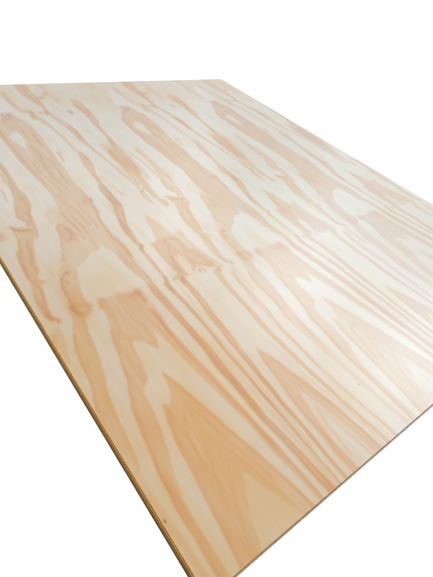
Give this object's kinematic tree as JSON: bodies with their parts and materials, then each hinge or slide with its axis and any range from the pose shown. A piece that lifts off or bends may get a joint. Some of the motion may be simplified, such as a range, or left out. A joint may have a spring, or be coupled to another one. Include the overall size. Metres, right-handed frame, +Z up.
{
  "type": "plywood sheet",
  "caption": "Flat rectangular sheet of pine plywood, cross-laminated from peeled veneers, for flooring, roofing, walls and formwork.",
  "frame": {"origin": "middle of the underside, on the floor that the sheet lies on", "axes": "+X along the sheet's length and the grain of its face, +Y across its width, +Z up out of the face veneer"},
  "size_m": [1.525, 1.22, 0.025],
  "materials": {
    "face_veneer": "sanded",
    "crossband": "sawn",
    "long_ply": "sawn",
    "back_veneer": "unsanded"
  },
  "bodies": {
    "root": {"face_veneer": "face_veneer", "upper_crossband": "crossband", "upper_long_ply": "long_ply", "centre_crossband": "crossband", "lower_long_ply": "long_ply", "lower_crossband": "crossband", "back_veneer": "back_veneer"}
  },
  "joints": []
}
